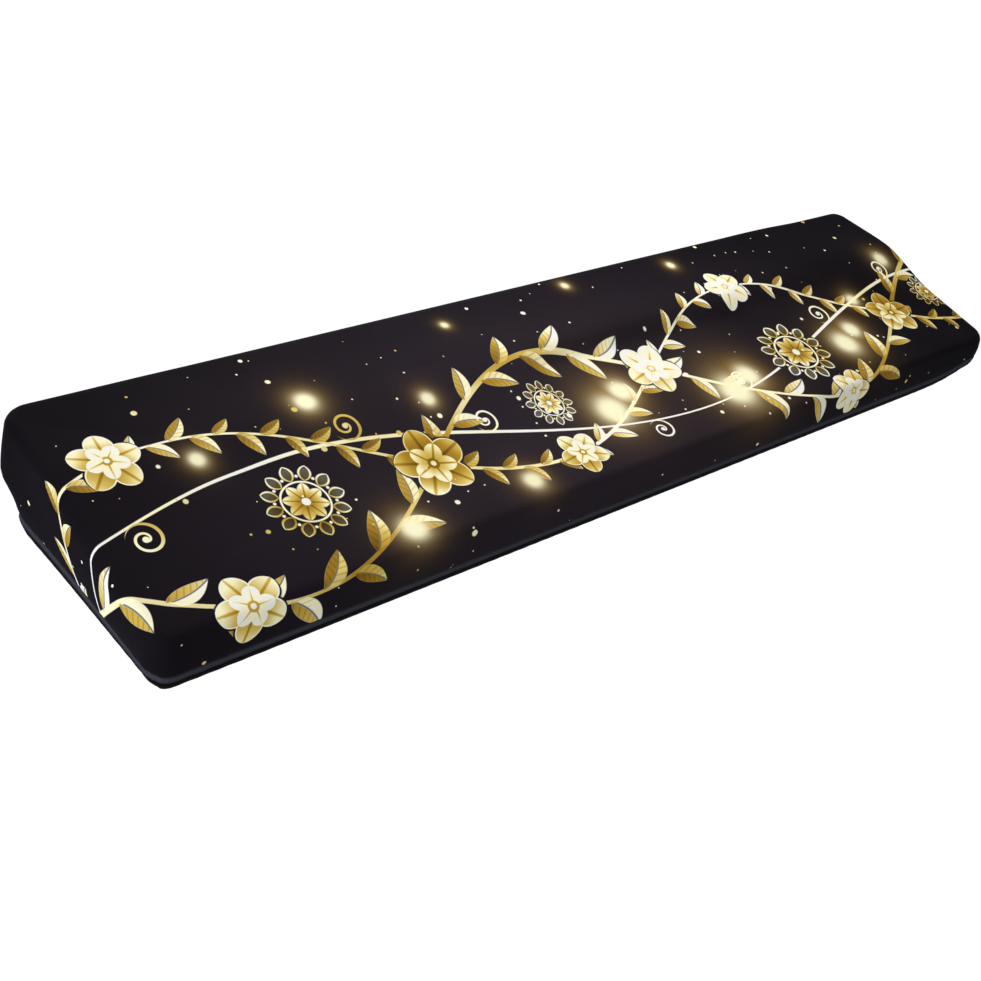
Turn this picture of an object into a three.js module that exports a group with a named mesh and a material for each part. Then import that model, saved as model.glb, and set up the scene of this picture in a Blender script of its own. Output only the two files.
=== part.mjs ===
// Keyboard dust cover: one piece of stretch cloth drawn over a long, low keyboard instrument.
// It is a thin shell, open below, with a raised rear deck, a lower front deck and an elastic hem.
// Millimetres, +Z up, +X along the length, +Y to the back, origin at the middle of the hem's plane.
import * as THREE from "three";

// Driving dimensions.
const coverLength = 1345;
const coverDepth = 305;
const clothThickness = 2;
const edgeRadius = 12; // where the top turns down into the walls
const frontTuck = 7; // how far the hem's elastic draws the front and back walls in
const endTuck = 14; // and the two end walls
const wallBelly = 1.5; // how far a wall stands out halfway down

// The cross-section of the top, from the front edge to the back edge.
const topProfile = [
  { place: "front edge", y: -coverDepth / 2, height: 67 },
  { place: "foot of the rear deck", y: -30, height: 93 },
  { place: "rim of the rear deck", y: 38, height: 122 },
  { place: "back edge", y: coverDepth / 2, height: 135 },
];

// How softly the cloth bends over the rear deck: slack at the left end, drawn close at the right.
const bends = { slackWidth: 18, closeWidth: 8, changeAt: -190, changeOver: 90 };

// Soft troughs in the top. Each runs from its start to its end and fades out past them, over one width
// on the left of its run and another on its right.
const troughs = [
  { name: "crease", startX: -60, startY: 17, endX: 270, endY: 10.5, depth: 8.5, left: 14, right: 44 },
  { name: "crease's end", startX: 300, startY: 10, endX: 480, endY: 8, depth: 4.5, left: 20, right: 44 },
  { name: "front slack", startX: -400, startY: -84, endX: 430, endY: -78, depth: 2.5, left: 40, right: 40 },
  { name: "rear slack", startX: -460, startY: 96, endX: 380, endY: 98, depth: 1.6, left: 34, right: 34 },
  { name: "left pull", startX: -600, startY: 90, endX: -470, endY: -20, depth: 2, left: 28, right: 28 },
  { name: "right pull", startX: 610, startY: -70, endX: 500, endY: 10, depth: 1.6, left: 24, right: 24 },
  { name: "back right dip", startX: 580, startY: 150, endX: 640, endY: 150, depth: 3.2, left: 70, right: 70 },
];

// The upright corners: radius in plan, how far the hem is drawn up and how far the wall stands out above it.
// They go anticlockwise round the cover.
const corners = [
  { name: "front left", sideX: -1, sideY: -1, radius: 22, hemLift: 1, bulge: 1 },
  { name: "front right", sideX: 1, sideY: -1, radius: 24, hemLift: 17, bulge: 1 },
  { name: "back right", sideX: 1, sideY: 1, radius: 22, hemLift: 8, bulge: 2 },
  { name: "back left", sideX: -1, sideY: 1, radius: 30, hemLift: 0, bulge: 4 },
];
const cornerReach = 60; // how far along the walls a corner's lift and bulge are felt

// The back left corner stays upright down to the instrument's lower edge and then turns in under it.
// The knee is given in shares of the wall's height, from the top down.
const backLeftTuck = { inward: 10, reach: 26, kneeStart: 0.4, kneeEnd: 0.7 };

// The hem from its stitch line, which is drawn in, to the lip that turns under.
const hemRows = [
  { part: "stitch line", above: 12.5, out: -1 },
  { part: "upper half", above: 9, out: 0.8 },
  { part: "lower half", above: 4, out: 0.6 },
  { part: "lower turn", above: 1, out: -2.6 },
  { part: "lip", above: 0, out: -8 },
];

// Facets: along each straight side, over half a corner, over the edge's rounding and down the walls.
const facets = { length: 34, depth: 16, halfCorner: 2, rounding: 3, wall: 4 };

const halfLength = coverLength / 2;
const halfDepth = coverDepth / 2;

// A ramp that lies at 0, turns over about the given width and then rises one in one.
function softRamp(distance, width) {
  return width * Math.log1p(Math.exp(distance / width));
}

// From 0 to 1 around the middle, over about the given width.
function softStep(distance, width) {
  return 1 / (1 + Math.exp(-distance / width));
}

// Slopes of the top between neighbouring places of its cross-section.
const slopes = topProfile.slice(1).map((next, k) => {
  const place = topProfile[k];
  return (next.height - place.height) / (next.y - place.y);
});

// How far a point in plan lies below the taut top because of the troughs.
function troughDepth(x, y) {
  let depth = 0;
  for (const trough of troughs) {
    const run = new THREE.Vector2(trough.endX - trough.startX, trough.endY - trough.startY);
    const from = new THREE.Vector2(x - trough.startX, y - trough.startY);
    const along = THREE.MathUtils.clamp(from.dot(run) / run.lengthSq(), 0, 1);
    const offset = from.addScaledVector(run, -along);
    const distance = offset.length();
    // 1 on the left of the run, -1 on its right
    const side = distance > 0 ? run.cross(offset) / (run.length() * distance) : 0;
    const width = THREE.MathUtils.lerp(trough.right, trough.left, (side + 1) / 2);
    depth += trough.depth * Math.exp(-((distance / width) ** 2));
  }
  return depth;
}

// Height of the top's outer face over a point in plan.
function topHeight(x, y) {
  const close = softStep(x - bends.changeAt, bends.changeOver);
  const width = THREE.MathUtils.lerp(bends.slackWidth, bends.closeWidth, close);
  let height = topProfile[0].height + slopes[0] * (y - topProfile[0].y);
  for (let k = 1; k < slopes.length; k += 1) {
    height += (slopes[k] - slopes[k - 1]) * softRamp(y - topProfile[k].y, width);
  }
  return height - troughDepth(x, y);
}

// Points of one side of the plan, from the middle of one corner to the middle of the next.
// along and out are the side's own directions, reach and offset its half length and its distance out.
function sidePoints(along, out, reach, offset, steps, from, to) {
  const last = steps + 2 * facets.halfCorner;
  const points = [];
  for (let i = 0; i < last; i += 1) {
    const past = i - facets.halfCorner;
    const share = THREE.MathUtils.clamp(past / steps, 0, 1);
    const beyond = past - share * steps;
    const turn = (beyond / facets.halfCorner) * (Math.PI / 4);
    const normal = along.clone().multiplyScalar(Math.sin(turn)).addScaledVector(out, Math.cos(turn));
    const radius = share < 0.5 ? from.radius : to.radius;
    const run = THREE.MathUtils.lerp(from.radius - reach, reach - to.radius, share);
    const centre = along.clone().multiplyScalar(run).addScaledVector(out, offset - radius);
    points.push({ normal, place: centre.addScaledVector(normal, radius) });
  }
  return points;
}

// The walls' outline in plan, with its outward normals, anticlockwise from the front left corner.
function planOutline() {
  const right = new THREE.Vector2(1, 0);
  const back = new THREE.Vector2(0, 1);
  const left = new THREE.Vector2(-1, 0);
  const front = new THREE.Vector2(0, -1);
  const [frontLeft, frontRight, backRight, backLeft] = corners;
  return [
    ...sidePoints(right, front, halfLength, halfDepth, facets.length, frontLeft, frontRight),
    ...sidePoints(back, right, halfDepth, halfLength, facets.depth, frontRight, backRight),
    ...sidePoints(left, back, halfLength, halfDepth, facets.length, backRight, backLeft),
    ...sidePoints(front, left, halfDepth, halfLength, facets.depth, backLeft, frontLeft),
  ];
}

// One upright section of the cover at a point of its outline, from the top's edge to the hem's lip.
function wallSection({ place, normal }) {
  const at = (inset, height) =>
    new THREE.Vector3(place.x - normal.x * inset, place.y - normal.y * inset, height);

  // The rounding starts where the top slopes as the circle does.
  const probe = 1;
  const inner = place.clone().addScaledVector(normal, -edgeRadius);
  const fall =
    (topHeight(inner.x, inner.y) - topHeight(inner.x + probe * normal.x, inner.y + probe * normal.y)) / probe;
  const startTurn = Math.atan(fall);
  const start = place.clone().addScaledVector(normal, edgeRadius * (Math.sin(startTurn) - 1));
  const centreHeight = topHeight(start.x, start.y) - edgeRadius * Math.cos(startTurn);
  const section = [];
  for (let i = 0; i <= facets.rounding; i += 1) {
    const turn = THREE.MathUtils.lerp(startTurn, Math.PI / 2, i / facets.rounding);
    section.push(at(edgeRadius * (1 - Math.sin(turn)), centreHeight + edgeRadius * Math.cos(turn)));
  }

  // What the nearby corners do to the hem and the wall.
  let lift = 0;
  let belly = wallBelly;
  const tuck = frontTuck * normal.y ** 2 + endTuck * normal.x ** 2;
  for (const corner of corners) {
    const distance = Math.hypot(place.x - corner.sideX * halfLength, place.y - corner.sideY * halfDepth);
    const felt = Math.exp(-((distance / cornerReach) ** 2));
    lift += corner.hemLift * felt;
    belly += corner.bulge * felt;
  }
  const fromBackLeft = Math.hypot(place.x + halfLength, place.y - halfDepth);
  const kneed = Math.exp(-((fromBackLeft / backLeftTuck.reach) ** 2));
  const wallInset = (share) => {
    const knee = THREE.MathUtils.smoothstep(share, backLeftTuck.kneeStart, backLeftTuck.kneeEnd);
    const drawnIn = tuck * THREE.MathUtils.lerp(share ** 2, knee, kneed);
    return drawnIn + backLeftTuck.inward * kneed * knee - belly * Math.sin(Math.PI * share);
  };

  const hemTop = lift + hemRows[0].above;
  for (let i = 1; i < facets.wall; i += 1) {
    const height = THREE.MathUtils.lerp(centreHeight, hemTop, i / facets.wall);
    section.push(at(wallInset((centreHeight - height) / (centreHeight - lift)), height));
  }
  for (const row of hemRows) {
    const height = lift + row.above;
    section.push(at(wallInset((centreHeight - height) / (centreHeight - lift)) - row.out, height));
  }
  return section;
}

// The outer face as points and triangles: the top's grid inside the first row of the wall sections.
function outerFace() {
  const sections = planOutline().map(wallSection);
  const around = sections.length;
  const rows = sections[0].length;
  const columns = facets.length + 2 * facets.halfCorner;
  const lines = facets.depth + 2 * facets.halfCorner;
  const points = [];
  for (let row = 0; row < rows; row += 1) {
    for (const section of sections) {
      points.push(section[row]);
    }
  }

  // The grid's own edges are the first row, counted round from the front left corner.
  const edgeIndex = (i, j) => {
    if (j === 0) return i;
    if (i === columns) return columns + j;
    if (j === lines) return 2 * columns + lines - i;
    return around - j;
  };
  const edge = (i, j) => points[edgeIndex(i, j)];
  const onEdge = (i, j) => i === 0 || j === 0 || i === columns || j === lines;
  const gridIndex = new Map();
  for (let j = 0; j <= lines; j += 1) {
    for (let i = 0; i <= columns; i += 1) {
      if (onEdge(i, j)) {
        gridIndex.set(i + j * (columns + 1), edgeIndex(i, j));
        continue;
      }
      // A Coons patch: the blend of opposite edges, less the blend of the corners.
      const u = i / columns;
      const v = j / lines;
      const point = edge(i, 0).clone().lerp(edge(i, lines), v);
      point.add(edge(0, j).clone().lerp(edge(columns, j), u));
      const nearCorners = edge(0, 0).clone().lerp(edge(columns, 0), u);
      const farCorners = edge(0, lines).clone().lerp(edge(columns, lines), u);
      point.sub(nearCorners.lerp(farCorners, v));
      point.z = topHeight(point.x, point.y);
      gridIndex.set(i + j * (columns + 1), points.length);
      points.push(point);
    }
  }

  const triangles = [];
  const quad = (a, b, c, d) => triangles.push(a, b, c, a, c, d);
  for (let j = 0; j < lines; j += 1) {
    for (let i = 0; i < columns; i += 1) {
      const here = i + j * (columns + 1);
      const above = here + columns + 1;
      quad(gridIndex.get(here), gridIndex.get(here + 1), gridIndex.get(above + 1), gridIndex.get(above));
    }
  }
  for (let row = 1; row < rows; row += 1) {
    for (let i = 0; i < around; i += 1) {
      const next = (i + 1) % around;
      const upper = (row - 1) * around;
      const lower = row * around;
      quad(lower + i, lower + next, upper + next, upper + i);
    }
  }
  const lip = Array.from({ length: around }, (_, i) => (rows - 1) * around + i);
  return { points, triangles, lip };
}

// The outer face, a copy of it one cloth thickness inside, and a strip that joins them along the lip.
function clothSolid({ points, triangles, lip }) {
  const outer = new THREE.BufferGeometry().setFromPoints(points);
  outer.setIndex(triangles);
  outer.computeVertexNormals();
  const normals = outer.getAttribute("normal");
  const inner = points.map((point, i) => {
    const normal = new THREE.Vector3().fromBufferAttribute(normals, i);
    return point.clone().addScaledVector(normal, -clothThickness);
  });
  const count = points.length;
  const faces = [...triangles];
  for (let k = 0; k < triangles.length; k += 3) {
    faces.push(triangles[k] + count, triangles[k + 2] + count, triangles[k + 1] + count);
  }
  lip.forEach((here, i) => {
    const next = lip[(i + 1) % lip.length];
    faces.push(here, here + count, next + count, here, next + count, next);
  });
  const solid = new THREE.BufferGeometry().setFromPoints([...points, ...inner]);
  solid.setIndex(faces);
  solid.computeVertexNormals();
  return solid;
}

const blackStretchCloth = new THREE.MeshStandardMaterial({
  name: "printed stretch cloth",
  color: 0x1b171c,
  roughness: 0.8,
  metalness: 0,
});

const cover = new THREE.Mesh(clothSolid(outerFace()), blackStretchCloth);
cover.name = "cover";

const keyboardDustCover = new THREE.Group();
keyboardDustCover.add(cover);

export default keyboardDustCover;
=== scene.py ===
import math

import bpy
import numpy as np
from mathutils import Matrix, Vector


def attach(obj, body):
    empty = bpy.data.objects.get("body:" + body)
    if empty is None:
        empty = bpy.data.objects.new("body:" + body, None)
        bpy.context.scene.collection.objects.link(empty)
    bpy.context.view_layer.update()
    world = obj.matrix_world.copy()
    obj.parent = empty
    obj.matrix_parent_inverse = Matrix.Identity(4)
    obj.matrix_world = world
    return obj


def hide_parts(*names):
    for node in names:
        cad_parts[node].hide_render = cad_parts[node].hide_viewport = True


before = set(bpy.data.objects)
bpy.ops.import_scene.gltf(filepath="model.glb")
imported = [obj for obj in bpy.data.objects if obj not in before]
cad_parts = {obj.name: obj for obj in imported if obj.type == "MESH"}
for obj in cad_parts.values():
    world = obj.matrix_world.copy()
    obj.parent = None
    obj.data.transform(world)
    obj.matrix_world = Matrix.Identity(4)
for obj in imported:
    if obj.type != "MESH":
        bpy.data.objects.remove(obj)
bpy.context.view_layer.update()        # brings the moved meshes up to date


# The cover's fit, in metres. These sizes follow the solid's, within a millimetre or two.
coverFit = {
    "length": 1.345,
    "depth": 0.305,
    "edgeRadius": 0.012,  # the top turns down into the walls
    "sideTuck": 0.007,  # the elastic draws the front and back walls in
    "endTuck": 0.0134,  # and the two ends
    "belly": 0.0015,  # the walls stand out halfway down
    "cornerReach": 0.060,  # a corner's lift and bulge die away over this
    "endHem": 1.22,  # the hem is this much deeper at the two ends
    "cloth": 0.0012,  # thickness
    "secondLine": 2,  # hem rows from the first line of stitches to the second
    "topProfile": [  # y and height of the top, from the front edge to the back edge
        (-0.1525, 0.067),
        (-0.030, 0.093),
        (0.038, 0.122),
        (0.1525, 0.135),
    ],
    "bends": {"slack": 0.018, "close": 0.008, "changeAt": -0.190, "changeOver": 0.090},
    "troughs": [  # from x, y, to x, y, depth, width on the left of the run and on its right
        (-0.060, 0.017, 0.270, 0.0105, 0.0098, 0.014, 0.044),  # crease along the rear deck
        (0.300, 0.010, 0.480, 0.008, 0.0060, 0.020, 0.044),  # and its end
        (-0.400, -0.084, 0.430, -0.078, 0.0025, 0.040, 0.040),  # slack over the front deck
        (-0.460, 0.096, 0.380, 0.098, 0.0016, 0.034, 0.034),  # slack over the rear deck
        (-0.600, 0.090, -0.470, -0.020, 0.0020, 0.028, 0.028),  # pull at the left end
        (0.610, -0.070, 0.500, 0.010, 0.0016, 0.024, 0.024),  # pull at the right end
        (0.580, 0.150, 0.640, 0.150, 0.0032, 0.070, 0.070),  # dip at the back right
        (-0.640, -0.118, -0.520, -0.070, 0.0006, 0.009, 0.009),  # fine drags out of the corners
        (-0.646, 0.112, -0.560, 0.060, 0.0007, 0.010, 0.010),
        (0.642, 0.120, 0.560, 0.078, 0.0006, 0.010, 0.010),
        (0.640, -0.120, 0.560, -0.096, 0.0006, 0.009, 0.009),
        (-0.300, 0.058, -0.120, 0.046, 0.0007, 0.012, 0.012),  # and along the rim
        (0.440, 0.046, 0.560, 0.030, 0.0008, 0.012, 0.012),
        (0.060, -0.012, 0.300, -0.022, 0.0007, 0.013, 0.013),
    ],
    "corners": [  # side x, side y, radius in plan, hem lift, bulge
        (-1, -1, 0.022, 0.001, 0.001),
        (1, -1, 0.024, 0.017, 0.001),
        (1, 1, 0.022, 0.008, 0.002),
        (-1, 1, 0.030, 0.000, 0.004),
    ],
    # the back left corner turns in towards its foot
    "backLeftTuck": {"inward": 0.010, "reach": 0.026, "kneeStart": 0.4, "kneeEnd": 0.7},
    "hemRows": [  # height above the hem's edge and distance out from the wall
        (0.0215, -0.0016),  # stitch line, drawn in
        (0.0200, -0.0002),
        (0.0168, 0.0009),
        (0.0124, 0.0014),  # the roll over the elastic
        (0.0084, 0.0010),
        (0.0050, -0.0004),
        (0.0025, -0.0024),
        (0.0008, -0.0050),  # underside
        (0.0002, -0.0080),
        (0.0014, -0.0098),  # turned up inside
        (0.0072, -0.0082),
        (0.0144, -0.0058),
        (0.0215, -0.0044),  # caught by the stitches again
    ],
    "gathers": {  # small waves round the hem
        "waves": 150,
        "drift": 14,  # slower waves that move them along
        "driftReach": 1.4,
        "swell": 8,  # and slower still, that make them uneven
        "swellPhase": 0.8,
        "swellShare": 0.35,
        "height": 0.00018,
        "atCorners": 0.00010,
        "fade": 0.016,
    },
    # the walls are sewn together down the corners
    "cornerSeam": {"dent": 0.0007, "from": 0.010},
    "facets": {"length": 264, "depth": 60, "halfCorner": 5, "rounding": 7, "wall": 12},
}

halfLength = coverFit["length"] / 2
halfDepth = coverFit["depth"] / 2
facets = coverFit["facets"]


def softRamp(distance, width):
    return width * np.log1p(np.exp(distance / width))


def troughDepth(x, y):
    depth = np.zeros_like(x)
    for fromX, fromY, toX, toY, deep, leftWidth, rightWidth in coverFit["troughs"]:
        runX = toX - fromX
        runY = toY - fromY
        share = ((x - fromX) * runX + (y - fromY) * runY) / (runX**2 + runY**2)
        share = np.clip(share, 0, 1)
        offX = x - fromX - share * runX
        offY = y - fromY - share * runY
        away = np.hypot(offX, offY)
        side = (runX * offY - runY * offX) / (math.hypot(runX, runY) * np.maximum(away, 1e-9))
        width = rightWidth + (leftWidth - rightWidth) * (side + 1) / 2
        depth += deep * np.exp(-((away / width) ** 2))
    return depth


def topHeight(x, y):
    bends = coverFit["bends"]
    close = 1 / (1 + np.exp(-(x - bends["changeAt"]) / bends["changeOver"]))
    width = bends["slack"] + (bends["close"] - bends["slack"]) * close
    ys, heights = np.array(coverFit["topProfile"]).T
    slopes = np.diff(heights) / np.diff(ys)
    height = heights[0] + slopes[0] * (y - ys[0])
    for bend in range(1, len(slopes)):
        height = height + (slopes[bend] - slopes[bend - 1]) * softRamp(y - ys[bend], width)
    return height - troughDepth(x, y)


def sideOutline(along, out, reach, offset, steps, fromRadius, toRadius):
    # one side of the plan, from the middle of one corner to the middle of the next
    past = np.arange(steps + 2 * facets["halfCorner"]) - facets["halfCorner"]
    share = np.clip(past / steps, 0, 1)
    turn = (past - share * steps) / facets["halfCorner"] * math.pi / 4
    normal = np.outer(np.sin(turn), along) + np.outer(np.cos(turn), out)
    radius = np.where(share < 0.5, fromRadius, toRadius)[:, None]
    run = (fromRadius - reach) * (1 - share) + (reach - toRadius) * share
    centre = np.outer(run, along) + (offset - radius) * np.array(out)
    return centre + radius * normal, normal


def planOutline():
    # anticlockwise from the front left corner: front, right, back, left
    frontLeft, frontRight, backRight, backLeft = [corner[2] for corner in coverFit["corners"]]
    sides = [
        sideOutline((1, 0), (0, -1), halfLength, halfDepth, facets["length"], frontLeft, frontRight),
        sideOutline((0, 1), (1, 0), halfDepth, halfLength, facets["depth"], frontRight, backRight),
        sideOutline((-1, 0), (0, 1), halfLength, halfDepth, facets["length"], backRight, backLeft),
        sideOutline((0, -1), (-1, 0), halfDepth, halfLength, facets["depth"], backLeft, frontLeft),
    ]
    sideOf = np.concatenate([np.full(len(place), side) for side, (place, _) in enumerate(sides)])
    places = np.concatenate([place for place, _ in sides])
    normals = np.concatenate([normal for _, normal in sides])
    return places, normals, sideOf


def hemGather(places, nearCorner):
    # uneven little waves that the elastic leaves along the hem
    gathers = coverFit["gathers"]
    step = np.linalg.norm(np.roll(places, -1, axis=0) - places, axis=1)
    angle = 2 * math.pi * np.concatenate([[0], np.cumsum(step)[:-1]]) / step.sum()
    wave = np.sin(gathers["waves"] * angle + gathers["driftReach"] * np.sin(gathers["drift"] * angle))
    swell = np.sin(gathers["swell"] * angle + gathers["swellPhase"])
    uneven = 1 - gathers["swellShare"] + gathers["swellShare"] * swell
    return wave * (gathers["height"] * uneven + gathers["atCorners"] * nearCorner)


def wallRows(places, normals, sideOf):
    # inset and height of every row of the walls, from the top's edge down and round the hem
    radius = coverFit["edgeRadius"]
    probe = 0.001
    inner = places - radius * normals
    outer = inner + probe * normals
    fall = (topHeight(*inner.T) - topHeight(*outer.T)) / probe
    startTurn = np.arctan(fall)
    start = places + normals * (radius * (np.sin(startTurn) - 1))[:, None]
    centre = topHeight(*start.T) - radius * np.cos(startTurn)

    lift = np.zeros(len(places))
    belly = np.full(len(places), coverFit["belly"])
    tuck = coverFit["sideTuck"] * normals[:, 1] ** 2 + coverFit["endTuck"] * normals[:, 0] ** 2
    nearCorner = np.zeros(len(places))
    for sideX, sideY, _, hemLift, bulge in coverFit["corners"]:
        away = np.hypot(places[:, 0] - sideX * halfLength, places[:, 1] - sideY * halfDepth)
        felt = np.exp(-((away / coverFit["cornerReach"]) ** 2))
        lift += hemLift * felt
        belly += bulge * felt
        nearCorner += felt
    turnedIn = coverFit["backLeftTuck"]
    fromBackLeft = np.hypot(places[:, 0] + halfLength, places[:, 1] - halfDepth)
    kneed = np.exp(-((fromBackLeft / turnedIn["reach"]) ** 2))
    gather = hemGather(places, nearCorner)
    sewing = coverFit["cornerSeam"]
    seam = (np.roll(sideOf, 1) != sideOf) * sewing["dent"]
    hemDepth = 1 + (coverFit["endHem"] - 1) * normals[:, 0] ** 2
    stitchHeight = coverFit["hemRows"][0][0] * hemDepth
    fade = coverFit["gathers"]["fade"]

    def wallInset(height):
        share = (centre - height) / (centre - lift)
        bent = (share - turnedIn["kneeStart"]) / (turnedIn["kneeEnd"] - turnedIn["kneeStart"])
        bent = np.clip(bent, 0, 1)
        knee = bent**2 * (3 - 2 * bent)
        drawnIn = tuck * (share**2 * (1 - kneed) + knee * kneed) + turnedIn["inward"] * kneed * knee
        above = np.maximum(height - lift - stitchHeight, 0)
        pulled = gather * np.exp(-((above / fade) ** 2))
        sewn = seam * np.clip((centre - height) / sewing["from"], 0, 1)
        return drawnIn - belly * np.sin(math.pi * share) - pulled + sewn

    insets = []
    heights = []
    for row in range(facets["rounding"] + 1):
        turn = startTurn + (math.pi / 2 - startTurn) * row / facets["rounding"]
        insets.append(radius * (1 - np.sin(turn)))
        heights.append(centre + radius * np.cos(turn))
    for row in range(1, facets["wall"]):
        height = centre + (lift + stitchHeight - centre) * row / facets["wall"]
        insets.append(wallInset(height))
        heights.append(height)
    for above, out in coverFit["hemRows"]:
        height = lift + above * hemDepth
        insets.append(wallInset(height) - out)
        heights.append(height)
    return np.array(insets), np.array(heights)


def coonsGrid(first, columns, lines):
    # fills the loop of the walls' first row with a grid, in plan
    front = first[: columns + 1]
    right = first[columns : columns + lines + 1]
    back = first[columns + lines : 2 * columns + lines + 1][::-1]
    left = np.concatenate([first[2 * columns + lines :], first[:1]])[::-1]
    u = np.linspace(0, 1, columns + 1)[None, :, None]
    v = np.linspace(0, 1, lines + 1)[:, None, None]
    alongLength = front[None] * (1 - v) + back[None] * v
    alongDepth = left[:, None] * (1 - u) + right[:, None] * u
    corners = (front[0] * (1 - u) + front[-1] * u) * (1 - v) + (back[0] * (1 - u) + back[-1] * u) * v
    return alongLength + alongDepth - corners


def coverSheet():
    places, normals, sideOf = planOutline()
    insets, heights = wallRows(places, normals, sideOf)
    rows, around = insets.shape
    columns = facets["length"] + 2 * facets["halfCorner"]
    lines = facets["depth"] + 2 * facets["halfCorner"]
    plan = places[None] - insets[:, :, None] * normals[None]
    walls = np.concatenate([plan, heights[:, :, None]], axis=2)
    down = np.zeros((rows, around))
    down[1:] = np.cumsum(np.linalg.norm(np.diff(walls, axis=0), axis=2), axis=0)
    stitchRow = facets["rounding"] + facets["wall"]
    aboveHem = down[stitchRow] - down

    # the grid's rim is the walls' first row, the rest of it is new points
    grid = coonsGrid(plan[0], columns, lines)
    inside = grid[1:-1, 1:-1].reshape(-1, 2)
    top = np.column_stack([inside, topHeight(*inside.T)])
    index = np.empty((lines + 1, columns + 1), dtype=int)
    index[0] = np.arange(columns + 1)
    index[:, -1] = columns + np.arange(lines + 1)
    index[-1] = 2 * columns + lines - np.arange(columns + 1)
    index[1:, 0] = around - np.arange(1, lines + 1)
    index[1:-1, 1:-1] = rows * around + np.arange(len(inside)).reshape(lines - 1, columns - 1)
    points = np.concatenate([walls.reshape(-1, 3), top])
    cells = [index[:-1, :-1], index[:-1, 1:], index[1:, 1:], index[1:, :-1]]
    topQuads = np.stack(cells, axis=2).reshape(-1, 4)

    here = np.arange(around)
    after = (here + 1) % around
    upper = np.arange(rows - 1)[:, None] * around
    lower = upper + around
    wallQuads = np.stack([lower + here, lower + after, upper + after, upper + here], axis=2).reshape(-1, 4)

    # the flat cloth: the top as it lies, each wall unrolled straight out from its own edge
    outward = np.array([(0, -1), (1, 0), (0, 1), (-1, 0)])[sideOf]

    def unrolled(row, column):
        way = outward[here][None]
        edge = plan[0][column][None]
        across = np.where(way == 0, plan[row][:, column], edge)
        return across + way * down[row][:, column][:, :, None]

    upperRows = np.arange(rows - 1)
    wallFlat = np.stack(
        [
            unrolled(upperRows + 1, here),
            unrolled(upperRows + 1, after),
            unrolled(upperRows, after),
            unrolled(upperRows, here),
        ],
        axis=2,
    ).reshape(-1, 2)
    topFlat = points[topQuads.reshape(-1), :2]

    mesh = bpy.data.meshes.new("cover_cloth")
    mesh.from_pydata(points.tolist(), [], np.concatenate([topQuads, wallQuads]).tolist())
    flat = mesh.uv_layers.new(name="flatCloth")
    flat.data.foreach_set("uv", np.concatenate([topFlat, wallFlat]).astype(np.float32).ravel())
    hem = mesh.attributes.new("aboveHem", "FLOAT", "POINT")
    farUp = np.full(len(top), coverFit["depth"])
    hem.data.foreach_set("value", np.concatenate([aboveHem.ravel(), farUp]).astype(np.float32))
    mesh.polygons.foreach_set("use_smooth", np.ones(len(mesh.polygons), dtype=bool))
    mesh.update()
    piece = bpy.data.objects.new("cover_cloth", mesh)
    bpy.context.scene.collection.objects.link(piece)
    secondRow = stitchRow + coverFit["secondLine"]
    seams = {"stitch": walls[stitchRow], "second": walls[secondRow], "normals": normals}
    area = sum(face.area for face in mesh.polygons)
    return piece, seams, area


def selectOnly(piece):
    bpy.ops.object.select_all(action="DESELECT")
    piece.select_set(True)
    bpy.context.view_layer.objects.active = piece


coverCloth, hemSeams, clothArea = coverSheet()
selectOnly(coverCloth)
shell = coverCloth.modifiers.new("cloth thickness", "SOLIDIFY")
shell.thickness = coverFit["cloth"]
shell.offset = -1.0
shell.material_offset = 1
shell.material_offset_rim = 1
print("cover: one layer of", round(clothArea, 4), "square metres,", len(coverCloth.data.polygons), "faces")


# Hem stitching: one stitch modelled, then laid along two lines round the cover.
hemStitch = {"length": 0.0026, "pitch": 0.0034, "thread": 0.00045, "proud": 0.00008, "sides": 6, "rings": 5}


def oneStitch():
    bpy.ops.object.select_all(action="DESELECT")
    bpy.ops.mesh.primitive_uv_sphere_add(
        segments=hemStitch["sides"],
        ring_count=hemStitch["rings"],
        radius=0.5,
    )
    stitch = bpy.context.object
    stitch.scale = (hemStitch["thread"], hemStitch["thread"], hemStitch["length"])
    bpy.ops.object.transform_apply(location=False, rotation=False, scale=True)
    points = np.array([point.co for point in stitch.data.vertices])
    faces = [list(face.vertices) for face in stitch.data.polygons]
    bpy.data.objects.remove(stitch)
    return points, faces


def stitchLine(route, normals):
    # evenly spaced places along a closed line, with the run and the outward direction there
    loop = np.concatenate([route, route[:1]])
    ways = np.concatenate([normals, normals[:1]])
    length = np.concatenate([[0], np.cumsum(np.linalg.norm(np.diff(loop, axis=0), axis=1))])
    count = round(length[-1] / hemStitch["pitch"])
    at = np.arange(count) / count * length[-1]
    ahead = (at + hemStitch["length"] / 2) % length[-1]
    behind = (at - hemStitch["length"] / 2) % length[-1]
    place = np.column_stack([np.interp(at, length, loop[:, axis]) for axis in range(3)])
    front = np.column_stack([np.interp(ahead, length, loop[:, axis]) for axis in range(3)])
    rear = np.column_stack([np.interp(behind, length, loop[:, axis]) for axis in range(3)])
    out = np.column_stack([np.interp(at, length, ways[:, axis]) for axis in range(2)] + [np.zeros(count)])
    run = (front - rear) / np.linalg.norm(front - rear, axis=1)[:, None]
    out -= run * np.sum(out * run, axis=1)[:, None]
    out /= np.linalg.norm(out, axis=1)[:, None]
    return place + out * hemStitch["proud"], run, out


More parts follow.
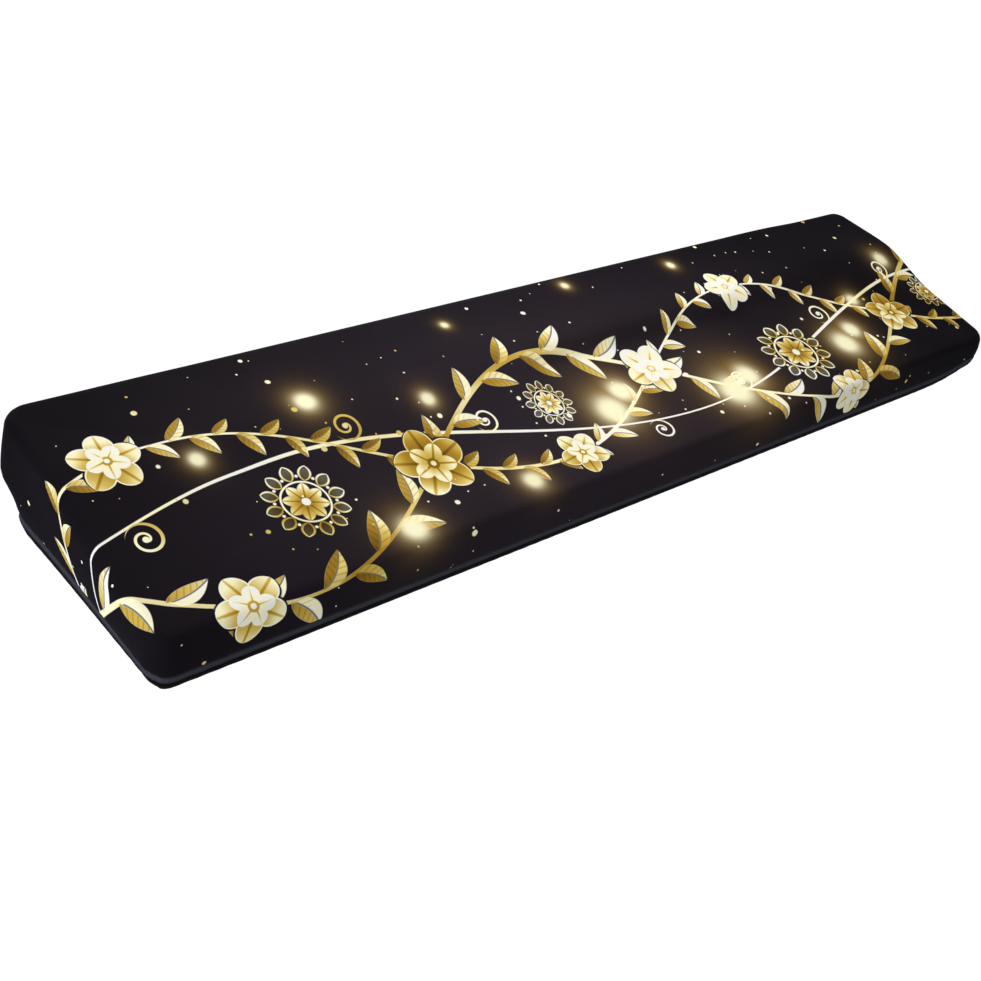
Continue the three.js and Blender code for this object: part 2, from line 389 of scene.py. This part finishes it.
def hemStitches():
    points, faces = oneStitch()
    allPoints = []
    for line in ("stitch", "second"):
        place, run, out = stitchLine(hemSeams[line], hemSeams["normals"])
        side = np.cross(out, run)
        turned = points[None, :, 0, None] * out[:, None] + points[None, :, 1, None] * side[:, None]
        turned = turned + points[None, :, 2, None] * run[:, None]
        allPoints.append((place[:, None] + turned).reshape(-1, 3))
    joined = np.concatenate(allPoints)
    allFaces = []
    for first in range(0, len(joined), len(points)):
        allFaces += [[first + corner for corner in face] for face in faces]
    mesh = bpy.data.meshes.new("hem_stitching")
    mesh.from_pydata(joined.tolist(), [], allFaces)
    mesh.polygons.foreach_set("use_smooth", np.ones(len(mesh.polygons), dtype=bool))
    mesh.update()
    piece = bpy.data.objects.new("hem_stitching", mesh)
    bpy.context.scene.collection.objects.link(piece)
    print("hem:", len(joined) // len(points), "stitches")
    return piece


hemStitching = hemStitches()


# Shader maths: arithmetic on a Socket adds the nodes that work it out.
class Socket:
    def __init__(self, finish, output):
        self.finish = finish
        self.output = output

    def math(self, operation, *values):
        return self.finish.node("ShaderNodeMath", {"operation": operation}, values)

    def __add__(self, other):
        return self.math("ADD", self, other)

    def __radd__(self, other):
        return self.math("ADD", other, self)

    def __sub__(self, other):
        return self.math("SUBTRACT", self, other)

    def __rsub__(self, other):
        return self.math("SUBTRACT", other, self)

    def __mul__(self, other):
        return self.math("MULTIPLY", self, other)

    def __rmul__(self, other):
        return self.math("MULTIPLY", other, self)

    def __truediv__(self, other):
        return self.math("DIVIDE", self, other)

    def __rtruediv__(self, other):
        return self.math("DIVIDE", other, self)

    def __pow__(self, other):
        return self.math("POWER", self, other)

    def __abs__(self):
        return self.math("ABSOLUTE", self)

    def sine(self):
        return self.math("SINE", self)

    def cosine(self):
        return self.math("COSINE", self)

    def floor(self):
        return self.math("FLOOR", self)

    def root(self):
        return self.math("SQRT", self)

    def most(self, other):
        return self.math("MAXIMUM", self, other)

    def least(self, other):
        return self.math("MINIMUM", self, other)

    def below(self, other):
        return self.math("LESS_THAN", self, other)

    def pingpong(self, reach):
        return self.math("PINGPONG", self, reach)

    def rise(self, low, high):
        # 0 at low and 1 at high, eased; low may be the larger
        settings = {"interpolation_type": "SMOOTHSTEP"}
        values = {"Value": self, "From Min": low, "From Max": high}
        return self.finish.node("ShaderNodeMapRange", settings, values)


class Finish:
    def __init__(self, name):
        self.material = bpy.data.materials.new(name)
        self.material.use_nodes = True
        self.tree = self.material.node_tree
        self.tree.nodes.clear()

    def node(self, kind, settings=None, inputs=None, output=0):
        made = self.tree.nodes.new(kind)
        for name, setting in (settings or {}).items():
            if name == "stops":
                self.setStops(made.color_ramp, setting)
            else:
                setattr(made, name, setting)
        pairs = inputs.items() if isinstance(inputs, dict) else enumerate(inputs or ())
        for name, value in pairs:
            if isinstance(value, Socket):
                self.tree.links.new(value.output, made.inputs[name])
            else:
                made.inputs[name].default_value = value
        return Socket(self, made.outputs[output]) if made.outputs else None

    def setStops(self, ramp, stops):
        while len(ramp.elements) < len(stops):
            ramp.elements.new(0.5)
        for element, (position, colour) in zip(ramp.elements, stops):
            element.position = position
            element.color = colour

    def mixValue(self, share, first, second):
        return self.node("ShaderNodeMix", {"data_type": "FLOAT"}, {0: share, 2: first, 3: second})

    def mixVector(self, share, first, second):
        return self.node("ShaderNodeMix", {"data_type": "VECTOR"}, {0: share, 4: first, 5: second}, 1)

    def mixColour(self, share, first, second, blend="MIX"):
        settings = {"data_type": "RGBA", "blend_type": blend}
        return self.node("ShaderNodeMix", settings, {0: share, 6: first, 7: second}, 2)

    def ramp(self, value, stops):
        return self.node("ShaderNodeValToRGB", {"stops": stops}, {"Fac": value})

    def length(self, vector):
        return self.node("ShaderNodeVectorMath", {"operation": "LENGTH"}, [vector], "Value")

    def split(self, vector):
        x = self.node("ShaderNodeSeparateXYZ", None, [vector])
        return x, Socket(self, x.output.node.outputs[1])

    def surface(self, values):
        shader = self.node("ShaderNodeBsdfPrincipled", None, values)
        self.node("ShaderNodeOutputMaterial", None, {"Surface": shader})


def picked(red, green, blue):
    # a colour as a picker shows it, 0 to 255
    def linear(part):
        share = part / 255
        return share / 12.92 if share <= 0.04045 else ((share + 0.055) / 1.055) ** 2.4

    return (linear(red), linear(green), linear(blue), 1.0)


# The print: leafy vines, a tendril, blossoms, rosettes, lights and sparks in gold and ivory.
clothPrint = {
    "vines": {
        "back": {  # along the back wall
            "centre": 0.214, "rise": 0.022, "period": 0.52, "phase": 0.9, "stem": 0.0013, "tone": 0.45,
            "leaf": 0.027, "leafWidth": 0.0064, "pitch": 0.036, "spread": 44,
        },
        "fine": {
            "centre": -0.030, "rise": -0.080, "period": 0.84, "phase": 2.62, "stem": 0.0018, "tone": 0.86,
            "leaf": 0.035, "leafWidth": 0.0080, "pitch": 0.046, "spread": 45,
        },
        "garland": {
            "centre": -0.062, "rise": 0.096, "period": 0.84, "phase": 2.22, "stem": 0.0026, "tone": 0.58,
            "leaf": 0.055, "leafWidth": 0.0122, "pitch": 0.072, "spread": 43,
        },
        "tendril": {  # no leaves
            "centre": -0.055, "rise": 0.052, "period": 1.10, "phase": 4.14, "stem": 0.0017, "tone": 0.94,
        },
    },
    "stem": {"swellPace": 8, "swell": 0.3, "edge": 0.0004},
    "leaf": {
        "foot": 0.115,  # share of the pitch before a leaf's foot
        "bow": 1.5,
        "point": 0.75,
        "fullness": 3.1,
        "veins": 40,
        "veinSlant": 7.5,
        "smallest": 0.80,
        "vary": 0.30,  # chance adds up to this much
        "seed": 31,
        "tone": 0.34,
        "tipLight": 0.26,
        "sideLight": 0.30,  # one half is lighter by this
        "veinShade": 0.10,
        "ribInk": 0.2,
    },
    "blossoms": [  # vine, u, radius, turn in degrees
        ("garland", -0.296, 0.045, 20),
        ("garland", 0.074, 0.042, 50),
        ("garland", 0.544, 0.041, 5),
        ("garland", -0.570, 0.038, 35),
        ("fine", -0.612, 0.037, 12),
        ("garland", 0.345, 0.036, 60),
        ("fine", 0.290, 0.034, 28),
        ("fine", -0.118, 0.032, 44),
    ],
    "rosettes": [  # u, v, radius, turn in degrees
        (-0.455, -0.059, 0.046, 0),
        (0.312, -0.072, 0.055, 8),
        (-0.105, -0.034, 0.033, 20),
        (0.655, -0.046, 0.032, 12),
    ],
    "petals": {  # count, inner and outer radius, half width, turn in degrees, point
        "blossom": (5, 0.10, 1.0, 0.40, 0, 0.55),
        "blossomHeart": (5, 0.06, 0.60, 0.24, 36, 0.55),
        "rosette": (12, 0.58, 0.99, 0.165, 0, 0.7),
        "rosetteHeart": (8, 0.10, 0.52, 0.155, 22.5, 0.6),
    },
    "petalTones": {  # tone at the foot, how much lighter the tip is, the rib's edge, its core and its shade
        "blossom": (0.30, 0.50, 0.16, 0.02, 0.22),
        "blossomHeart": (0.66, 0.35, 0.18, 0.02, 0.30),
        "rosetteHeart": (0.40, 0.45, 0.20, 0.03, 0.25),
    },
    "curls": [  # vine, u where it springs, side, radius
        ("tendril", -0.625, -1, 0.019),
        ("tendril", -0.365, 1, 0.018),
        ("tendril", -0.205, 1, 0.016),
        ("tendril", 0.010, -1, 0.016),
        ("tendril", 0.185, 1, 0.017),
        ("tendril", 0.420, 1, 0.018),
        ("tendril", 0.600, 1, 0.016),
    ],
    "curlTurns": 1.7,
    "lights": [  # u, v, radius of the disc, strength
        (-0.530, 0.020, 0.0080, 0.9),
        (-0.385, 0.050, 0.0115, 1.0),
        (-0.372, -0.128, 0.0140, 1.0),
        (-0.250, 0.012, 0.0080, 0.9),
        (-0.205, -0.122, 0.0110, 0.9),
        (-0.032, -0.068, 0.0200, 1.0),
        (0.002, -0.046, 0.0150, 1.0),
        (0.060, 0.126, 0.0055, 0.8),
        (0.160, -0.098, 0.0230, 1.0),
        (0.200, -0.082, 0.0160, 1.0),
        (0.408, -0.084, 0.0180, 1.0),
        (0.442, -0.066, 0.0125, 1.0),
        (0.500, -0.020, 0.0090, 0.9),
        (0.620, 0.024, 0.0110, 0.9),
        (0.250, 0.116, 0.0060, 0.9),
        (-0.150, 0.110, 0.0050, 0.8),
    ],
    "halo": {"reach": 0.15, "fall": 3, "strength": 0.42, "colour": picked(212, 160, 30)},
    "disc": {"edge": 2.6, "colour": picked(255, 250, 206)},
    "sparks": [  # pitch, share of the cells that have one, largest radius, tone
        (0.052, 0.32, 0.0042, 0.80),
        (0.024, 0.16, 0.0017, 0.76),
    ],
    "toneWaves": [(22, 34, 0.0, 0.14), (6.1, 0.0, 0.9, 0.12)],  # pace along u and v, phase, height
    "gold": [  # from the deepest tone to the lightest
        (0.00, picked(80, 53, 8)),
        (0.22, picked(134, 98, 18)),
        (0.42, picked(180, 140, 38)),
        (0.58, picked(218, 190, 92)),
        (0.74, picked(254, 246, 196)),
        (1.00, picked(246, 245, 236)),
    ],
    # painted light: the ground is lighter in the middle of the front and darker towards both ends, as the
    # light falls on it
    "glow": {"u": -0.11, "v": -0.06, "reachU": 0.40, "reachV": 0.18, "fade": 1.9, "mottle": 0.3},
    # the ground's colour where the painted light is least and where it is most
    "groundWithPaintedLight": [(0.0, (0.0038, 0.0026, 0.0040, 1)), (1.0, (0.0215, 0.0155, 0.0208, 1))],
    "hemBand": 0.0200,  # along the cloth from the stitch line to the foot of the roll
    "hemPaintedShadeAndHighlight": [  # from the foot of the roll up to the stitch line: painted shade under the roll, a painted bluish highlight over its upper half, then the cloth's black
        (0.66, (0.0012, 0.0012, 0.0016, 1)),
        (0.78, (0.0370, 0.0366, 0.0450, 1)),
        (0.92, (0.0425, 0.0420, 0.0520, 1)),
        (1.00, (0.0120, 0.0116, 0.0140, 1)),
    ],
}
knit = {"across": 0.0012, "along": 0.0010}  # loops of the cloth, both ways


def vineAt(vine, along):
    # height and slope of a vine, as numbers
    pace = 2 * math.pi / vine["period"]
    turn = pace * along + vine["phase"]
    return vine["centre"] + vine["rise"] * math.sin(turn), vine["rise"] * pace * math.cos(turn)


def vineHeight(vine, along):
    turn = along * (2 * math.pi / vine["period"]) + vine["phase"]
    return turn.sine() * vine["rise"] + vine["centre"]


def vineSlope(vine, along):
    turn = along * (2 * math.pi / vine["period"]) + vine["phase"]
    return turn.cosine() * (vine["rise"] * 2 * math.pi / vine["period"])


class Print:
    # how much ink lies on the cloth, and how light it is from deep gold to ivory
    def __init__(self, finish, flat):
        self.finish = finish
        self.flat = flat
        self.u, self.v = finish.split(flat)
        self.ink = None
        self.tone = None

    def lay(self, mask, tone):
        if self.ink is None:
            self.ink = mask
            self.tone = mask * 0 + tone
            return
        self.ink = self.ink.most(mask)
        self.tone = self.finish.mixValue(mask, self.tone, tone)

    def clear(self, mask):
        self.ink = self.ink * (1 - mask)

    def stem(self, vine):
        slope = vineSlope(vine, self.u)
        away = abs(self.v - vineHeight(vine, self.u)) / (slope * slope + 1).root()
        stem = clothPrint["stem"]
        swell = (self.u * stem["swellPace"] + vine["phase"]).sine() * stem["swell"]
        half = (swell + 1) * vine["stem"]
        self.lay((half - away).rise(-stem["edge"], stem["edge"]), vine["tone"])

    def leaves(self, vine, side, shift):
        leaf = clothPrint["leaf"]
        cell = (self.u / vine["pitch"] + shift).floor()
        footU = (cell + (leaf["foot"] - shift)) * vine["pitch"]
        slope = vineSlope(vine, footU)
        flatRun = 1 / (slope * slope + 1).root()
        upRun = slope * flatRun
        spreadCos = math.cos(math.radians(vine["spread"]))
        spreadSin = side * math.sin(math.radians(vine["spread"]))
        wayU = flatRun * spreadCos - upRun * spreadSin
        wayV = upRun * spreadCos + flatRun * spreadSin
        fromU = self.u - footU
        fromV = self.v - vineHeight(vine, footU)
        values = {"W": cell + leaf["seed"] * side}
        chance = self.finish.node("ShaderNodeTexWhiteNoise", {"noise_dimensions": "1D"}, values)
        size = chance * leaf["vary"] + leaf["smallest"]
        along = (fromU * wayU + fromV * wayV) / (size * vine["leaf"])
        across = (fromV * wayU - fromU * wayV) / (size * vine["leafWidth"])
        share = along.most(0).least(1)
        bowed = across * side + share * (1 - share) * leaf["bow"]
        half = share ** leaf["point"] * (1 - share) * leaf["fullness"]
        mask = (half - abs(bowed)).rise(0.0, 0.10)
        rib = abs(bowed).rise(0.04, 0.13)
        veins = (along * leaf["veins"] - abs(bowed) * leaf["veinSlant"]).sine().rise(0.5, 0.98)
        light = bowed.rise(0.04, -0.04)
        tone = light * leaf["sideLight"] + (leaf["tone"] + leaf["tipLight"] * share)
        inked = rib * (1 - leaf["ribInk"]) + leaf["ribInk"]
        self.lay(mask * inked, tone - veins * leaf["veinShade"])

    def placed(self, places):
        # coordinates inside the motif that lies here, 1 at its rim; a radius below 0 mirrors it
        local = None
        for u, v, radius, turn in places:
            values = {
                "Vector": self.flat,
                "Location": (u, v, 0),
                "Rotation": (0, 0, math.radians(turn)),
                "Scale": (abs(radius), radius, 1),
            }
            own = self.finish.node("ShaderNodeMapping", {"vector_type": "TEXTURE"}, values)
            if local is None:
                local = own
            else:
                near = self.finish.length(own).below(1)
                local = self.finish.mixVector(near, local, own)
        x, y = self.finish.split(local)
        radius = self.finish.length(local)
        return x, y, radius

    def petals(self, radius, angle, name):
        # a ring of petals: depth inside a petal's edge, how far out along it and how far from its middle
        count, inner, outer, width, turn, point = clothPrint["petals"][name]
        off = (angle + math.radians(turn)).pingpong(math.pi / count)
        along = radius * off.cosine()
        across = radius * off.sine()
        share = ((along - inner) / (outer - inner)).most(0).least(1)
        half = (share * (1 - share) * 4) ** point * width
        return half - across, share, across / width

    def layPetals(self, name, edge, share, middle):
        foot, tip, ribEdge, ribCore, ribShade = clothPrint["petalTones"][name]
        rib = middle.rise(ribEdge, ribCore)
        self.lay(edge.rise(0.0, 0.035), share * tip + foot - rib * ribShade)

    def blossoms(self):
        places = []
        for name, u, radius, turn in clothPrint["blossoms"]:
            places.append((u, vineAt(clothPrint["vines"][name], u)[0], radius, turn))
        x, y, radius = self.placed(places)
        angle = y.math("ARCTAN2", y, x)
        edge, share, middle = self.petals(radius, angle, "blossom")
        # a dark gap round the petals, the petals with a dark rib, and their light rims
        self.clear(edge.rise(-0.07, -0.03) * radius.rise(1.06, 1.0))
        self.layPetals("blossom", edge, share, middle)
        self.lay(edge.rise(0.0, 0.02) * edge.rise(0.055, 0.035), 0.90)
        edge, share, middle = self.petals(radius, angle, "blossomHeart")
        # the heart, and a light dot in a dark one
        self.layPetals("blossomHeart", edge, share, middle)
        self.lay(radius.rise(0.17, 0.13), 0.40)
        self.lay(radius.rise(0.09, 0.06), 0.90)

    def rosettes(self):
        x, y, radius = self.placed(clothPrint["rosettes"])
        angle = y.math("ARCTAN2", y, x)
        self.clear(radius.rise(1.0, 0.96))
        edge, share, _ = self.petals(radius, angle, "rosette")
        # petals in outline, the ring they stand on and a bead between each two
        self.lay(edge.rise(0.0, 0.025), share * 0.40 + 0.50)
        self.clear(edge.rise(0.050, 0.066) * 0.9)
        self.lay(abs(radius - 0.55).rise(0.030, 0.016), 0.86)
        halfTurn = math.pi / clothPrint["petals"]["rosette"][0]
        beads = (angle + halfTurn).pingpong(halfTurn)
        beadX = radius * beads.cosine() - 0.70
        beadY = radius * beads.sine()
        self.lay((beadX * beadX + beadY * beadY).root().rise(0.044, 0.030), 1.0)
        edge, share, middle = self.petals(radius, angle, "rosetteHeart")
        self.layPetals("rosetteHeart", edge, share, middle)
        self.lay(radius.rise(0.12, 0.09), 0.95)

    def curls(self):
        turns = clothPrint["curlTurns"]
        places = []
        for name, springU, side, radius in clothPrint["curls"]:
            height, slope = vineAt(clothPrint["vines"][name], springU)
            angle = math.atan(slope)
            centreU = springU - side * radius * math.sin(angle)
            centreV = height + side * radius * math.cos(angle)
            places.append((centreU, centreV, side * radius, math.degrees(angle) - side * 90))
        x, y, radius = self.placed(places)
        winding = (1 - radius) * turns - y.math("ARCTAN2", y, x) / (2 * math.pi)
        away = abs(winding - (winding + 0.5).floor()) / turns
        width = radius * 0.045 + 0.05  # thinner towards the centre
        line = (width - away).rise(-0.012, 0.012) * radius.rise(1.0, 0.98)
        self.lay(line.most(radius.rise(0.20, 0.16)), 0.92 - radius * 0.20)

    def groundWithPaintedLight(self, mottle):
        # the cloth's plum black with a random mottle, and painted light over it: lighter round the middle
        # of the front, darker towards the ends
        glow = clothPrint["glow"]
        alongU = (self.u - glow["u"]) / glow["reachU"]
        alongV = (self.v - glow["v"]) / glow["reachV"]
        light = (alongU * alongU + alongV * alongV).root().rise(glow["fade"], 0)
        return self.finish.ramp(light + (mottle - 0.5) * glow["mottle"], clothPrint["groundWithPaintedLight"])

    def sparks(self, pitch, share, largest, tone):
        # dots in a share of the cells, from 0.4 of the largest radius up
        values = {"Vector": self.flat, "Scale": 1 / pitch, "Randomness": 1.0}
        away = self.finish.node("ShaderNodeTexVoronoi", {"voronoi_dimensions": "2D"}, values, "Distance")
        cell = Socket(self.finish, away.output.node.outputs["Color"])
        chance, size = self.finish.split(cell)
        radius = chance.below(share) * (size * 0.6 + 0.4) * (largest / pitch)
        self.lay((radius - away).rise(0.0, 0.3 * largest / pitch), tone)


def lightsOver(finish, colour, flat):
    # small lights printed over the rest: a pale disc in a golden halo
    halo = clothPrint["halo"]
    disc = clothPrint["disc"]
    glow = None
    faces = None
    for u, v, radius, strength in clothPrint["lights"]:
        values = {"Vector": flat, "Location": (u, v, 0), "Scale": (radius, radius, 1)}
        own = finish.node("ShaderNodeMapping", {"vector_type": "TEXTURE"}, values)
        square = finish.node("ShaderNodeVectorMath", {"operation": "DOT_PRODUCT"}, [own, own], "Value")
        wide = strength / (square * halo["reach"] + 1) ** halo["fall"]
        tight = strength / (square ** disc["edge"] + 1)
        glow = wide if glow is None else glow + wide
        faces = tight if faces is None else faces.most(tight)
    colour = finish.mixColour((glow * halo["strength"]).least(1), colour, halo["colour"], "ADD")
    return finish.mixColour(faces.least(1), colour, disc["colour"])


def printedCloth():
    finish = Finish("printed stretch cloth")
    flat = finish.node("ShaderNodeUVMap", {"uv_map": "flatCloth"})
    hem = finish.node("ShaderNodeAttribute", {"attribute_name": "aboveHem"}, None, "Fac")
    design = Print(finish, flat)
    design.stem(clothPrint["vines"]["tendril"])
    design.curls()
    for name in ("back", "fine", "garland"):
        vine = clothPrint["vines"][name]
        design.stem(vine)
        design.leaves(vine, 1, 0.0)
        design.leaves(vine, -1, 0.5)
    design.rosettes()
    design.blossoms()
    for spark in clothPrint["sparks"]:
        design.sparks(*spark)

    tone = design.tone
    for paceU, paceV, phase, height in clothPrint["toneWaves"]:
        tone = tone + (design.u * paceU + design.v * paceV + phase).sine() * height
    gold = finish.ramp(tone, clothPrint["gold"])
    mottle = finish.node("ShaderNodeTexNoise", None, {"Vector": flat, "Scale": 9.0, "Detail": 4.0})
    fibre = finish.node("ShaderNodeTexNoise", None, {"Vector": flat, "Scale": 820.0, "Detail": 2.0})
    onTop = hem.rise(0.0005, 0.0015)  # the print ends at the first line of stitches
    ink = design.ink * onTop * (fibre * 0.16 + 0.90).least(1)
    # under the ink lies the ground with its painted light
    printed = finish.mixColour(ink, design.groundWithPaintedLight(mottle), gold)
    colour = lightsOver(finish, printed, flat)
    hemBand = clothPrint["hemBand"]
    # the hem's colour is painted light and shade: near-black under the roll, a lighter bluish highlight
    # over its upper half
    hemBandPaintedLight = finish.ramp((hem + hemBand) / hemBand, clothPrint["hemPaintedShadeAndHighlight"])
    colour = finish.mixColour(onTop, hemBandPaintedLight, colour)

    across = (design.u * (2 * math.pi / knit["across"])).sine()
    along = (design.v * (2 * math.pi / knit["along"])).sine()
    loops = across * 0.5 + along * 0.3 + fibre * 0.6
    bump = finish.node("ShaderNodeBump", None, {"Strength": 0.25, "Distance": 0.0002, "Height": loops})
    finish.surface(
        {
            "Base Color": colour,
            "Roughness": 0.86 - ink * 0.18,
            "Specular IOR Level": 0.05,
            "Sheen Weight": 0.015,
            "Sheen Roughness": 0.45,
            "Sheen Tint": (0.80, 0.74, 1.0, 1.0),
            "Normal": bump,
        }
    )
    return finish.material


def clothReverse():
    finish = Finish("plain reverse of the cloth")
    flat = finish.node("ShaderNodeUVMap", {"uv_map": "flatCloth"})
    u, v = finish.split(flat)
    mottle = finish.node("ShaderNodeTexNoise", None, {"Vector": flat, "Scale": 60.0, "Detail": 5.0})
    colour = finish.ramp(mottle, [(0.3, (0.022, 0.020, 0.023, 1)), (0.7, (0.036, 0.033, 0.038, 1))])
    across = (u * (2 * math.pi / knit["across"])).sine()
    along = (v * (2 * math.pi / knit["along"])).sine()
    loops = across * along
    bump = finish.node("ShaderNodeBump", None, {"Strength": 0.3, "Distance": 0.0002, "Height": loops})
    finish.surface(
        {
            "Base Color": colour,
            "Roughness": 0.94 - mottle * 0.08,
            "Specular IOR Level": 0.2,
            "Sheen Weight": 0.08,
            "Normal": bump,
        }
    )
    return finish.material


def hemThread():
    finish = Finish("hem thread")
    place = finish.node("ShaderNodeTexCoord", None, None, "Object")
    twist = finish.node("ShaderNodeTexNoise", None, {"Vector": place, "Scale": 1400.0, "Detail": 2.0})
    colour = finish.ramp(twist, [(0.3, (0.016, 0.014, 0.018, 1)), (0.7, (0.040, 0.036, 0.044, 1))])
    bump = finish.node("ShaderNodeBump", None, {"Strength": 0.3, "Distance": 0.0001, "Height": twist})
    finish.surface({"Base Color": colour, "Roughness": 0.62 - twist * 0.1, "Normal": bump})
    return finish.material


for cloth in (printedCloth(), clothReverse()):
    coverCloth.data.materials.append(cloth)
hemStitching.data.materials.append(hemThread())
selectOnly(coverCloth)
bpy.ops.object.modifier_apply(modifier=shell.name)
print("finishes:", [material.name for material in bpy.data.materials])


# What the frame needs to know.
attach(coverCloth, "root")
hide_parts("cover")
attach(hemStitching, "root")


# Stage, light and camera.
paleFloor = {"drop": 0.75, "size": 30.0, "glow": 1.0}  # well below the cover
paleWall = {"radius": 14.0, "height": 24.0, "sides": 96}  # stands round the floor, for low views
lights = [  # name, place, aim, size, power, colour
    ("key from behind", (0.06, 0.76, 1.08), (0.02, 0.0, 0.1), 0.8, 15.6, (1.0, 0.96, 0.96)),
    ("cool side light", (-2.45, -0.50, 0.45), (-0.60, 0.0, 0.05), 1.4, 41.0, (0.80, 0.85, 1.0)),
    ("weak front light", (-0.30, -2.20, 0.35), (0.0, -0.15, 0.05), 1.6, 4.5, (1.0, 0.97, 0.96)),
]
skyLight = {"colour": (0.96, 0.97, 1.0, 1.0), "strength": 0.41}
photoView = {
    "eye": (-1.1329, -0.9164, 0.8699),
    "azimuth": -47.44,
    "elevation": 33.94,
    "roll": 11.71,
    "focalPixels": 1371.6,
    "framePixels": 981,
    "sensor": 36.0,
}


def floorFinish():
    finish = Finish("pale floor")
    place = finish.node("ShaderNodeTexCoord", None, None, "Object")
    grain = finish.node("ShaderNodeTexNoise", None, {"Vector": place, "Scale": 2.0, "Detail": 2.0})
    colour = finish.ramp(grain, [(0.3, (0.03, 0.03, 0.03, 1)), (0.7, (0.05, 0.05, 0.05, 1))])
    finish.surface(
        {
            "Base Color": colour,
            "Roughness": 0.9,
            "Specular IOR Level": 0.1,
            "Emission Color": (1.0, 1.0, 1.0, 1.0),
            "Emission Strength": paleFloor["glow"],
        }
    )
    return finish.material


bpy.ops.object.select_all(action="DESELECT")
bpy.ops.mesh.primitive_plane_add(size=paleFloor["size"], location=(0, 0, -paleFloor["drop"]))
floor = bpy.context.object
floor.name = "floor"
wallMiddle = paleWall["height"] / 2 - paleFloor["drop"]
bpy.ops.mesh.primitive_cylinder_add(
    vertices=paleWall["sides"],
    radius=paleWall["radius"],
    depth=paleWall["height"],
    end_fill_type="NOTHING",
    location=(0, 0, wallMiddle),
)
wall = bpy.context.object
wall.name = "wall"
wall.visible_shadow = False
palePaint = floorFinish()
for backdrop in (floor, wall):
    backdrop.visible_diffuse = False  # the lamps and the sky alone light the cloth
    backdrop.visible_glossy = False
    backdrop.data.materials.append(palePaint)

for name, place, aim, size, power, colour in lights:
    bpy.ops.object.light_add(type="AREA", location=place)
    lamp = bpy.context.object
    lamp.name = name
    lamp.rotation_euler = (Vector(aim) - Vector(place)).to_track_quat("-Z", "Y").to_euler()
    lamp.data.size = size
    lamp.data.energy = power
    lamp.data.color = colour

world = bpy.data.worlds.new("studio")
world.use_nodes = True
sky = world.node_tree.nodes["Background"]
sky.inputs["Color"].default_value = skyLight["colour"]
sky.inputs["Strength"].default_value = skyLight["strength"]
bpy.context.scene.world = world
bpy.context.scene.view_settings.view_transform = "Standard"

bpy.ops.object.camera_add()
camera = bpy.context.object
camera.name = "photo camera"
camera.data.sensor_width = photoView["sensor"]
camera.data.lens = photoView["focalPixels"] / photoView["framePixels"] * photoView["sensor"]
camera.matrix_world = (
    Matrix.Translation(photoView["eye"])
    @ Matrix.Rotation(math.radians(photoView["azimuth"]), 4, "Z")
    @ Matrix.Rotation(math.radians(90 - photoView["elevation"]), 4, "X")
    @ Matrix.Rotation(math.radians(photoView["roll"]), 4, "Z")
)
bpy.context.scene.camera = camera
print("stage: floor, wall,", len(lights), "lights and the camera")
